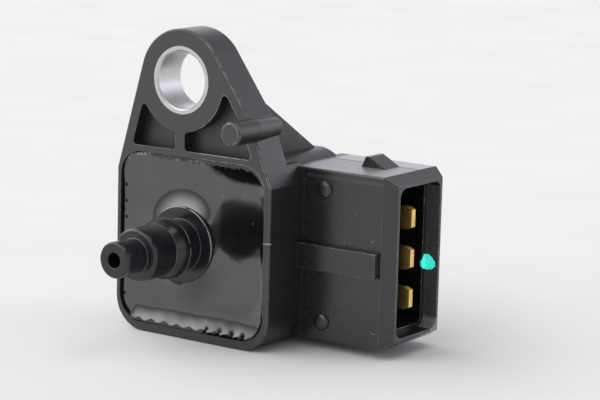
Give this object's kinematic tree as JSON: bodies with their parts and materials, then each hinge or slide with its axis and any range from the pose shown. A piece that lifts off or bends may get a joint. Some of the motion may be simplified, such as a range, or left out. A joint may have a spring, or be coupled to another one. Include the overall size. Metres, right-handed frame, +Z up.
{
  "type": "manifold absolute pressure sensor",
  "caption": "Black moulded engine pressure sensor with a bushed mounting eye, locating peg, potted front with a stepped hose nozzle, and a side connector with flat tabs.",
  "frame": {"origin": "on the mounting eye's axis, in the seating face at the front", "axes": "+X out of the connector, +Y from the nozzle's side to the back along the eye's axis, +Z up from the box to the eye"},
  "size_m": [0.0371, 0.0318, 0.0387],
  "materials": {
    "housing_plastic": "satin black glass-filled plastic",
    "port_plastic": "smooth black plastic",
    "potting_compound": "glossy black compound",
    "bush_metal": "bright turned metal",
    "terminal_gold": "gold-plated",
    "board_ceramic": "fired white ceramic",
    "grey_silicone": "cured silicone",
    "base_glass": "ground glass",
    "silicon": "polished silicon",
    "clear_gel": "soft clear gel",
    "seal_rubber": "moulded rubber",
    "chip_plastic": "moulded chip package",
    "capacitor_ceramic": "fired ceramic",
    "solder": "bright solder",
    "paint_mark": "dab of marking paint"
  },
  "bodies": {
    "root": {"housing": "housing_plastic", "pressure_port": "port_plastic", "potting": "potting_compound", "mounting_bush": "bush_metal", "terminal_upper": "terminal_gold", "terminal_middle": "terminal_gold", "terminal_lower": "terminal_gold", "circuit_board": "board_ceramic", "board_adhesive": "grey_silicone", "chip_base": "base_glass", "pressure_chip": "silicon", "chip_gel": "clear_gel", "chamber_seal": "seal_rubber", "signal_chip": "chip_plastic", "capacitor_upper": "capacitor_ceramic", "capacitor_middle": "capacitor_ceramic", "capacitor_lower": "capacitor_ceramic", "solder_upper": "solder", "solder_middle": "solder", "solder_lower": "solder"}
  },
  "joints": []
}
